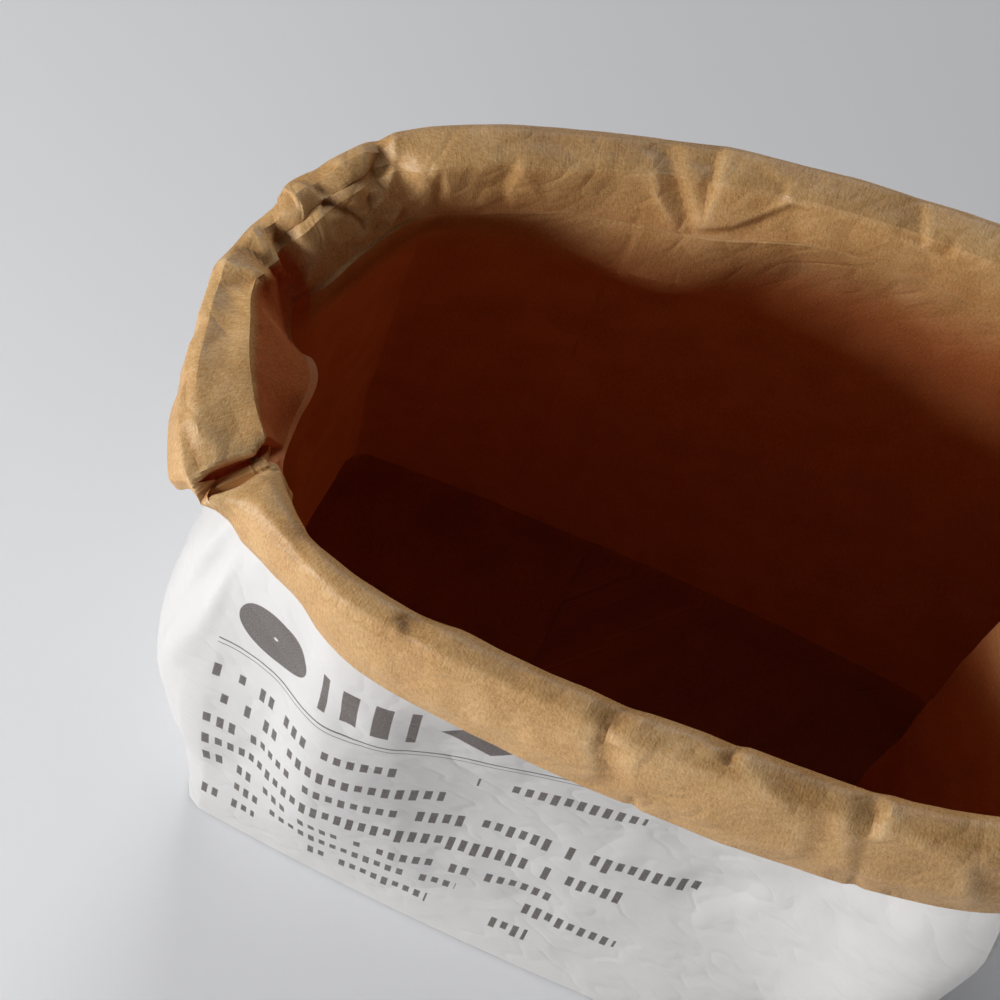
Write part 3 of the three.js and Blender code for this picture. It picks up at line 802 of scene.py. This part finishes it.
# %% Add the grid and carry it to its place
BROWN, WHITE = 0, 1


def deselect():
    if bpy.context.object and bpy.context.object.mode != "OBJECT":
        bpy.ops.object.mode_set(mode="OBJECT")
    bpy.ops.object.select_all(action="DESELECT")


def add_sheet(name, spots, paper_places):
    """A grid with its points at spots, given row by row, and the paper's map, all in metres."""
    deselect()
    rows, across = spots.shape[:2]
    bpy.ops.mesh.primitive_grid_add(x_subdivisions=across - 1, y_subdivisions=rows - 1, size=1)
    sheet = bpy.context.object
    sheet.name = sheet.data.name = name
    sheet.data.vertices.foreach_set("co", spots.reshape(-1))
    numbers = np.empty(len(sheet.data.loops), int)
    sheet.data.loops.foreach_get("vertex_index", numbers)
    paper_map = sheet.data.uv_layers.active or sheet.data.uv_layers.new()
    paper_map.name = "paper"
    on_map = paper_places.reshape(-1, 2)[numbers]
    paper_map.data.foreach_set("uv", on_map.reshape(-1).astype(np.float32))
    sheet.data.update()
    return sheet


def keep(sheet, name, values):
    """Keep one value for each point of a sheet as an attribute."""
    attribute = sheet.data.attributes.new(name, "FLOAT", "POINT")
    attribute.data.foreach_set("value", np.broadcast_to(values, len(sheet.data.vertices)).astype(np.float32))


paper_places = np.stack([np.repeat(columns[None], len(points), 0), heights_up], -1) * MM
bag = add_sheet("paper_bag_sheet", points, paper_places)
# Wear with painted ridge light and valley shade.
keep(bag, "wear", wear.reshape(-1))
# How far inside each point is, for the painted shade of the inside.
keep(bag, "inside", inside.reshape(-1))
face_rows = np.arange(len(bag.data.polygons)) // (points.shape[1] - 1)
sides = np.where(face_rows < outer_count - 2, WHITE, BROWN)
bag.data.polygons.foreach_set("material_index", sides.astype(np.int32))
print("placed", len(bag.data.vertices), "points")

# %% [markdown]
# The sheet's first and last columns lie on each other, so merging the doubles closes the tube.
# Its two ends are open loops near the ground: one is filled as the underside, one as the floor
# inside. A loop could be bridged to a smaller one instead, but both ends are flat, so one face
# each is enough.

# %% Merge the side seam and fill the floor and the underside
MERGE = 0.02
LOOP_SPLIT, LOOP_TOP = UNDER + 0.2, 10.0
SHARP_FOLD = 22.0


def edit(*steps):
    """Run mesh operators in edit mode, each given as a function."""
    bpy.ops.object.mode_set(mode="EDIT")
    for step in steps:
        step()
    bpy.ops.object.mode_set(mode="OBJECT")


def all_points(action):
    return lambda: bpy.ops.mesh.select_all(action=action)


def outwards():
    """Turn every face's normal outwards."""
    edit(all_points("SELECT"), lambda: bpy.ops.mesh.normals_make_consistent(inside=False))


def select_open_edges(mesh, low, high):
    """Select the open edges between two heights, and say how many there are."""
    edge_number = {tuple(sorted(one.vertices)): one.index for one in mesh.edges}
    uses = np.zeros(len(mesh.edges), int)
    for polygon in mesh.polygons:
        for key in polygon.edge_keys:
            uses[edge_number[key]] += 1
    count = 0
    for number in np.flatnonzero(uses == 1):
        if low * MM < mesh.vertices[mesh.edges[number].vertices[0]].co.z < high * MM:
            mesh.edges[number].select = True
            count += 1
    return count


edit(all_points("SELECT"), lambda: bpy.ops.mesh.remove_doubles(threshold=MERGE * MM), all_points("DESELECT"))
for low, high in ((-1, LOOP_SPLIT), (LOOP_SPLIT, LOOP_TOP)):
    found = select_open_edges(bag.data, low, high)
    edit(lambda: bpy.ops.mesh.select_mode(type="EDGE"), bpy.ops.mesh.edge_face_add, all_points("DESELECT"))
    print("closed a loop of", found, "edges")
outwards()
bpy.ops.object.shade_smooth_by_angle(angle=math.radians(SHARP_FOLD))
print("bag has", len(bag.data.polygons), "faces")

# %% [markdown]
# ## Flaps of the block bottom
# The bottom is folded from the tube's own ends. Inside, two end flaps lie on the floor and
# leave a gap between them. Underneath, the front flap and the back flap overlap along the
# middle and are glued. Each is a thin sheet: a grid shaped to the bottom's outline, given a
# thickness by Solidify.

# %% Shape of the flaps
FLAP_REACH = 0.4
BOTTOM_LEFT, BOTTOM_RIGHT, BOTTOM_MIDDLE = -127.0, 122.0, 1.0
OVERLAP = 14.0
END_CORNER, END_INSET, END_ACROSS, END_ROWS = 7.0, 2.0, 40, 30
LONG_CORNER, LONG_INSET, LONG_ACROSS, LONG_ROWS = 2.0, 0.6, 60, 24
LONG_SLANT = 0.9


def fixed_edge(start, end, corner, inset, across):
    """Points along one side of the bottom, from corner to corner, a little inside its edge."""
    ends = np.linspace(start + corner, end - corner, across)
    return base(ends) - outward(base, ends) * inset


def end_flap(start, end, free_x):
    """Rows from one end of the bottom to the flap's free edge, which runs straight across."""
    fixed = fixed_edge(start, end, END_CORNER, END_INSET, END_ACROSS)
    free_y = np.linspace(fixed[0, 1], fixed[-1, 1], END_ACROSS)
    return np.linspace(fixed, np.stack([np.full(END_ACROSS, free_x), free_y], -1), END_ROWS)


def long_flap(start, end, free_y):
    """Rows from the front or back edge to a free edge beyond the middle, with slanting ends."""
    fixed = fixed_edge(start, end, LONG_CORNER, LONG_INSET, LONG_ACROSS)
    depth = abs(free_y - fixed[:, 1].mean())
    middle, half = fixed[:, 0].mean(), np.ptp(fixed[:, 0]) / 2
    free_x = middle + (fixed[:, 0] - middle) * (half - depth * LONG_SLANT) / half
    return np.linspace(fixed, np.stack([free_x, np.full(LONG_ACROSS, free_y)], -1), LONG_ROWS)


reach = (BOTTOM_RIGHT - BOTTOM_LEFT) * FLAP_REACH
print("end flaps reach", reach, "mm in, long ones overlap by", 2 * OVERLAP, "mm")

# %% [markdown]
# A flap on the floor rises a little towards its free edge, as a fold that isn't glued does. The
# two underneath lie flat, one over the other, because the bag stands on them.

# %% Flaps
FLAP = 0.42
FLAP_GAP, LEFT_LIFT, RIGHT_LIFT, TOUCH = 0.1, 0.9, 1.1, 0.01
SHARP_EDGE = 40.0


def flap(name, height, lift, rows):
    """A thin flap of the bottom, from its rows of points in mm."""
    rising = lift * np.linspace(0, 1, len(rows))[:, None] ** 2 * np.ones(rows.shape[1])
    spots = np.concatenate([rows - OUTLINE_MIDDLE, (height + rising)[..., None]], -1) * MM
    piece = add_sheet(name, spots, spots[..., :2] + 1)
    solidify = piece.modifiers.new("thickness", "SOLIDIFY")
    solidify.thickness = FLAP * MM
    solidify.offset = 1.0
    bpy.ops.object.modifier_apply(modifier=solidify.name)
    outwards()
    bpy.ops.object.shade_smooth_by_angle(angle=math.radians(SHARP_EDGE))
    # The flaps carry neutral wear and count as inside, so the brown ones on the floor take the inside's
    # painted shade.
    keep(piece, "wear", 0.5)
    keep(piece, "inside", 1.0)
    print(name, [round(c, 4) for c in piece.dimensions])
    return piece


left_rows = end_flap(BACK_LEFT, ROUND, BOTTOM_LEFT + reach)
right_rows = end_flap(FRONT_RIGHT, BACK_RIGHT, BOTTOM_RIGHT - reach)
back_rows = long_flap(BACK_RIGHT, BACK_LEFT, BOTTOM_MIDDLE - OVERLAP)
front_rows = long_flap(0, FRONT_RIGHT, BOTTOM_MIDDLE + OVERLAP)
left_flap = flap("floor_flap_left", FLOOR + FLAP_GAP, LEFT_LIFT, left_rows)
right_flap = flap("floor_flap_right", FLOOR + FLAP_GAP, RIGHT_LIFT, right_rows)
back_flap = flap("under_flap_back", UNDER - FLAP - TOUCH, 0.0, back_rows)
front_flap = flap("under_flap_front", 0.0, 0.0, front_rows)

# %% [markdown]
# ## Writing shader maths as plain sums
# A material's pattern is a sum of simple ones. Adding each Math node by hand hides the sum,
# so this small class stands for one number in the material: adding, multiplying or comparing
# two of them adds the node that does it.

# %% A number in a material, and the material that holds it
class Number:
    def __init__(self, finish, socket):
        self.finish, self.socket = finish, socket

    def math(self, operation, *others, clamp=False):
        inputs = dict(enumerate((self,) + others))
        node = self.finish.node("ShaderNodeMath", {"operation": operation, "use_clamp": clamp}, inputs)
        return Number(self.finish, node.outputs[0])

    def __add__(self, other):
        return self.math("ADD", other)

    def __sub__(self, other):
        return self.math("SUBTRACT", other)

    def __rsub__(self, other):
        return self.math("MULTIPLY_ADD", -1.0, other)

    def __mul__(self, other):
        return self.math("MULTIPLY", other)

    def __truediv__(self, other):
        return self.math("DIVIDE", other)

    def __mod__(self, other):
        return self.math("FLOORED_MODULO", other)

    def __lt__(self, other):
        return self.math("LESS_THAN", other)

    def __gt__(self, other):
        return self.math("GREATER_THAN", other)

    def __abs__(self):
        return self.math("ABSOLUTE")

    __radd__, __rmul__ = __add__, __mul__

    def least(self, other):
        return self.math("MINIMUM", other)

    def floor(self):
        return self.math("FLOOR")

    def within(self, half, soft=0.2):
        """1 where the number is within half of 0, with an edge that is soft wide."""
        return abs(self).math("MULTIPLY_ADD", -1 / soft, half / soft + 0.5, clamp=True)


class Finish:
    def __init__(self, name):
        self.material = bpy.data.materials.new(name)
        self.material.use_nodes = True
        self.tree = self.material.node_tree
        self.tree.nodes.clear()

    def node(self, kind, settings=None, inputs=None):
        """Add a node: its settings first, then a value or a link for each named input."""
        node = self.tree.nodes.new(kind)
        for name, value in (settings or {}).items():
            if name == "stops":
                ramp = node.color_ramp
                while len(ramp.elements) < len(value):
                    ramp.elements.new(0.5)
                for element, (place, colour) in zip(ramp.elements, value):
                    element.position, element.color = place, (*colour, 1)
            else:
                setattr(node, name, value)
        for name, value in (inputs or {}).items():
            if isinstance(value, Number):
                value = value.socket
            if isinstance(value, bpy.types.NodeSocket):
                self.tree.links.new(value, node.inputs[name])
            else:
                node.inputs[name].default_value = value
        return node

    def number(self, kind, settings=None, inputs=None, output=0):
        return Number(self, self.node(kind, settings, inputs).outputs[output])

    def attribute(self, name):
        return self.number("ShaderNodeAttribute", {"attribute_name": name}, output=2)

    def on_map(self):
        """The place on the paper's own map, in metres."""
        return self.node("ShaderNodeUVMap", {"uv_map": "paper"}).outputs["UV"]

    def paper_place(self):
        """Millimetres along the paper and up it."""
        parts = self.node("ShaderNodeSeparateXYZ", inputs={0: self.on_map()})
        return Number(self, parts.outputs["X"]) / MM, Number(self, parts.outputs["Y"]) / MM

    def noise(self, along, up, patch=0.0, turn=0.0):
        """Noise from 0 to 1 with so many humps to a mm along the paper and up it, or turned."""
        place = self.on_map()
        if turn:
            turned = {"Vector": place, "Angle": math.radians(turn)}
            place = self.node("ShaderNodeVectorRotate", {"rotation_type": "Z_AXIS"}, turned).outputs[0]
        steps = {0: place, 1: (along / MM, up / MM, 0), 2: (patch, 0, 0)}
        place = self.node("ShaderNodeVectorMath", {"operation": "MULTIPLY_ADD"}, steps).outputs[0]
        inputs = {"Vector": place, "Scale": 1.0, "Detail": 1.0, "Roughness": 0.55}
        return self.number("ShaderNodeTexNoise", {"noise_dimensions": "2D"}, inputs)

    def chance(self, x, y):
        """A random number from 0 to 1 for each whole x and y."""
        spot = self.node("ShaderNodeCombineXYZ", inputs={"X": x, "Y": y, "Z": 0.5}).outputs[0]
        return self.number("ShaderNodeTexWhiteNoise", {"noise_dimensions": "3D"}, {"Vector": spot})

    def blend(self, factor, first, second, how="MIX"):
        settings = {"data_type": "RGBA", "blend_type": how}
        return self.node("ShaderNodeMix", settings, {"Factor": factor, 6: first, 7: second}).outputs[2]

    def ramp(self, factor, stops):
        return self.node("ShaderNodeValToRGB", {"stops": stops}, {"Fac": factor}).outputs["Color"]

    def bump(self, height, distance, strength=1.0):
        inputs = {"Height": height, "Distance": distance, "Strength": strength}
        return self.node("ShaderNodeBump", inputs=inputs).outputs["Normal"]


print("shader helper ready")

# %% [markdown]
# ## The papers' fibres
# Both plies are made of the same wood fibres, so both materials start from the same pattern:
# fine fibres that run up and at a slant, a fine grain, and slow clouds where the sheet is
# thicker. It follows the paper's own map, so it turns with every fold.

# %% Fibres
FIBRE_SLANT, CREASE_SLANT = -30.96, -45.0


def fibres(finish):
    """Fine streaks, grain and clouds, each 0 in the middle and up to 0.5 either way."""
    upward = finish.noise(1.7, 0.34)
    slanting = finish.noise(0.653, -1.446, 51.0, FIBRE_SLANT)
    grain = finish.noise(1.7, 1.7, 187.0)
    clouds = finish.noise(0.055, 0.04, 85.0)
    return (upward + slanting) / 2 - 0.5, grain - 0.5, clouds - 0.5


def faint_creases(finish):
    """Shallow, sharp-edged folds: one runs wherever a slow noise passes through its middle."""
    wide = abs(finish.noise(0.026, 0.018, 527.0) - 0.5)
    small = abs(finish.noise(0.0636, 0.0424, 629.0, CREASE_SLANT) - 0.5)
    return wide.least(0.16) * 0.6 + small.least(0.12) * 0.4


def paper_shader(finish, colour, roughness, normal, through, share, specular):
    """Paper that reflects, and lets a share of the light behind it through in its own tint."""
    surface = finish.node("ShaderNodeBsdfPrincipled", inputs={
        "Base Color": colour, "Roughness": roughness, "Normal": normal,
        "Specular IOR Level": specular})
    glow = finish.node("ShaderNodeBsdfTranslucent", inputs={"Color": through, "Normal": normal})
    both = finish.node("ShaderNodeMixShader", inputs={
        "Fac": share, 1: surface.outputs[0], 2: glow.outputs[0]})
    finish.node("ShaderNodeOutputMaterial", inputs={"Surface": both.outputs[0]})
    return finish.material


# %% [markdown]
# ## Brown kraft
# Kraft is unbleached: warm tan where it is lit, with darker fibres and a few specks of bark.
# Where light comes through, it is a deep orange. Its colour also holds painted light and shade:
# lighter on the roll's ridges, darker in its valleys, and darker and redder deep inside the bag.

# %% Kraft material
KRAFT_DARK = (0.41, 0.218, 0.076)
KRAFT = (0.61, 0.35, 0.132)
KRAFT_LIGHT = (0.74, 0.495, 0.245)
# Painted shade: the tint that darkens and reddens the kraft deep inside the bag.
KRAFT_INSIDE_PAINTED_SHADE = (0.86, 0.55, 0.45, 1)
KRAFT_GLOW = (0.88, 0.19, 0.045, 1)
KRAFT_THROUGH, KRAFT_ROLL_THROUGH = 0.27, 0.08
KRAFT_CREASED, KRAFT_CREASED_INSIDE = 42.0, 12.6
KRAFT_RELIEF = 0.16 * MM
SPECKS_ABOVE = 0.77


def kraft_paper():
    finish = Finish("kraft_paper")
    streaks, grain, clouds = fibres(finish)
    # The wear attribute carries painted ridge light and valley shade; its rub also smooths the roughness.
    rubbed_and_shaded, inside = finish.attribute("wear") - 0.5, finish.attribute("inside")
    specks = finish.noise(0.9, 0.9, 357.0) > SPECKS_ABOVE
    # The tone takes painted ridge light and valley shade from the wear attribute.
    tone = 0.5 + streaks * 1.5 + grain * 0.5 + clouds * 0.7 + rubbed_and_shaded * 0.7 - specks * 0.35
    colour = finish.ramp(tone, [(0.0, KRAFT_DARK), (0.5, KRAFT), (1.0, KRAFT_LIGHT)])
    # Painted shade: deep inside, the colour is multiplied darker and redder.
    colour = finish.blend(inside, colour, KRAFT_INSIDE_PAINTED_SHADE, "MULTIPLY")
    creased = KRAFT_CREASED - inside * (KRAFT_CREASED - KRAFT_CREASED_INSIDE)
    height = streaks + grain * 0.6 + faint_creases(finish) * creased
    roughness = 0.52 + grain * 0.2 - rubbed_and_shaded * 0.1
    normal = finish.bump(height, KRAFT_RELIEF, 0.7)
    through = KRAFT_ROLL_THROUGH + inside * (KRAFT_THROUGH - KRAFT_ROLL_THROUGH)
    return paper_shader(finish, colour, roughness, normal, KRAFT_GLOW, through, 0.5)


kraft = kraft_paper()
print("kraft has", len(kraft.node_tree.nodes), "nodes")

# %% [markdown]
# ## White ply and its print
# The outer ply is bleached white and printed in one dark grey. The print is plain: a band of
# bold shapes under the cuff, two thin rules, and rows of small upright dashes. Each is a
# distance from a line or a point, so the edges stay crisp at any size.

# %% White material
PAPER_WHITE = (0.79, 0.786, 0.777)
PAPER_GREY = (0.76, 0.75, 0.735)
INK = (0.105, 0.092, 0.085)
WHITE_GLOW = (0.75, 0.55, 0.35, 1)
WHITE_THROUGH = 0.15
WHITE_CREASED = 75.0
WHITE_RELIEF = 0.1 * MM
PRINT_LEFT, BAND_RIGHT, ROWS_RIGHT, ROWS_RAGGED = 6.0, 206.0, 196.0, 56.0
BAND_MIDDLE, BAND_HALF, BAND_STEP = 221.0, 18.0, 40.0
RULES = [(195.0, 0.55), (191.5, 0.3)]
ROWS_TOP, ROWS_BOTTOM, ROW_STEP, DASH_STEP = 182.0, 22.0, 22.85, 4.4


def bold_band(along, up):
    """Discs, bars, lozenges and half discs in turn."""
    start = along - PRINT_LEFT
    turn = (start / BAND_STEP).floor() % 4
    x = start % BAND_STEP - BAND_STEP / 2
    y = up - BAND_MIDDLE
    far = (x * x + y * y).math("SQRT")
    disc = (far - 8.5).within(7.5)
    bars = (x % 11 - 5.5).within(2.9) * x.within(16.5) * y.within(BAND_HALF - 2)
    lozenge = (abs(x) + abs(y)).within(17.0)
    half = far.within(16.5) * (y + 100).within(100)
    shapes = disc * (turn < 0.5) + bars * (turn - 1).within(0.5, 0.01)
    shapes = shapes + lozenge * (turn - 2).within(0.5, 0.01) + half * (turn > 2.5)
    return shapes * y.within(BAND_HALF)


def dash_rows(finish, along, up):
    """Rows of upright dashes in groups of uneven length."""
    height = up - ROWS_BOTTOM
    row = (height / ROW_STEP).floor()
    y = height % ROW_STEP - ROW_STEP / 2
    place = (along - PRINT_LEFT) / DASH_STEP
    cell = place.floor()
    x = (place - cell - 0.5) * DASH_STEP
    tall = finish.chance(cell, row)
    dash = x.within(1.2) * (abs(y + tall * 2 - 1) - tall * 2.4).within(3.4)
    gap = finish.chance(((place + row * 3.7) / 5.6).floor(), row + 40)
    joined = finish.chance(cell, row + 90) > 0.2
    end = ROWS_RIGHT - finish.chance(row, 3.0) * ROWS_RAGGED
    return dash * joined * (gap > 0.12) * (along < end) * (up > ROWS_BOTTOM) * (up < ROWS_TOP)


def white_paper():
    finish = Finish("white_paper")
    along, up = finish.paper_place()
    streaks, grain, clouds = fibres(finish)
    tone = 0.55 + streaks * 0.5 + grain * 0.25 + clouds * 0.6
    colour = finish.ramp(tone, [(0.0, PAPER_GREY), (1.0, PAPER_WHITE)])
    printed = bold_band(along, up) + dash_rows(finish, along, up)
    for middle, half in RULES:
        printed = printed + (up - middle).within(half)
    printed = printed * (along > PRINT_LEFT) * (along < BAND_RIGHT)
    cover = (printed * (0.93 + grain * 0.5)).math("ADD", 0.0, clamp=True)
    colour = finish.blend(cover, colour, (*INK, 1))
    height = streaks * 0.8 + grain * 0.5 + faint_creases(finish) * WHITE_CREASED
    roughness = 0.5 + grain * 0.2
    normal = finish.bump(height, WHITE_RELIEF, 0.5)
    return paper_shader(finish, colour, roughness, normal, WHITE_GLOW, WHITE_THROUGH, 0.4)


white = white_paper()
print("white has", len(white.node_tree.nodes), "nodes")

# %% [markdown]
# ## Dress the pieces
# The two large faces that close the sheet's ends come last: the lower one is white, the one
# inside brown. Each piece rides the part's one body.

# %% Dress the pieces and tie them to the frame
bag.data.materials.append(kraft)
bag.data.materials.append(white)
for polygon in bag.data.polygons:
    if len(polygon.vertices) > 4:
        polygon.material_index = WHITE if polygon.center.z < LOOP_SPLIT * MM else BROWN
        polygon.use_smooth = False
print(sum(polygon.material_index == WHITE for polygon in bag.data.polygons), "white faces")
for piece, material, finish_slot in (
    (left_flap, kraft, "kraft_paper"), (right_flap, kraft, "kraft_paper"),
    (back_flap, white, "white_paper"), (front_flap, white, "white_paper"),
):
    piece.data.materials.append(material)
    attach(piece, "root")
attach(bag, "root")
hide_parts("paper_bag")

# %% [markdown]
# ## Floor and light
# The bag stands on a plain pale floor. One large soft lamp, low and over the front left corner
# like a window, leaves the inside dark and lets some light through the left end. A wide weak
# one high behind the bag lights its crown and the floor, but not the inside that shows, and a
# weaker one low in front lifts the shaded front wall. The sky is very dim, so that the mouth
# stays dark from above.

# %% Floor
deselect()
bpy.ops.mesh.primitive_plane_add(size=8)
floor = bpy.context.object
floor.name = "floor"
pale = Finish("pale_floor")
FLOOR_TONE = (0.755, 0.76, 0.78, 1)
matt = {"Base Color": FLOOR_TONE, "Roughness": 0.85, "Specular IOR Level": 0.2}
surface = pale.node("ShaderNodeBsdfPrincipled", inputs=matt)
pale.node("ShaderNodeOutputMaterial", inputs={"Surface": surface.outputs[0]})
floor.data.materials.append(pale.material)

# %% [markdown]
# Each lamp is set by where it shines from: a direction in plan, how many degrees up, and how far
# away. A lamp shines along its own -Z, so -Z is turned to the bag.

# %% Lamps and sky
AIM = Vector((0.0, 0.0, 0.22))


def soft_lamp(name, direction, rise, away, width, height, power):
    """A rectangular lamp that shines at the bag from a direction in plan, some degrees up."""
    lamp = bpy.data.objects.new(name, bpy.data.lights.new(name, "AREA"))
    bpy.context.scene.collection.objects.link(lamp)
    lamp.data.shape = "RECTANGLE"
    lamp.data.size, lamp.data.size_y, lamp.data.energy = width, height, power
    toward = Vector((*direction, 0)).normalized() * math.cos(math.radians(rise))
    toward.z = math.sin(math.radians(rise))
    lamp.location = AIM + toward * away
    lamp.rotation_euler = (-toward).to_track_quat("-Z", "Y").to_euler()
    return lamp


SKY = 0.04
key = soft_lamp("key", (-0.82, -0.57), 20.5, 1.3, 0.44, 0.36, 15.5)
soft_lamp("fill", (-0.12, 0.99), 36.0, 2.5, 1.2, 1.2, 24.0)
soft_lamp("front", (0.1, -1.0), 10.0, 2.5, 1.2, 0.5, 10.0)
world = bpy.data.worlds.new("sky")
bpy.context.scene.world = world
world.use_nodes = True
background = world.node_tree.nodes["Background"]
background.inputs["Color"].default_value = (0.93, 0.96, 1.0, 1)
background.inputs["Strength"].default_value = SKY
bpy.context.scene.view_settings.view_transform = "Standard"
print("lamp at", [round(c, 2) for c in key.location])
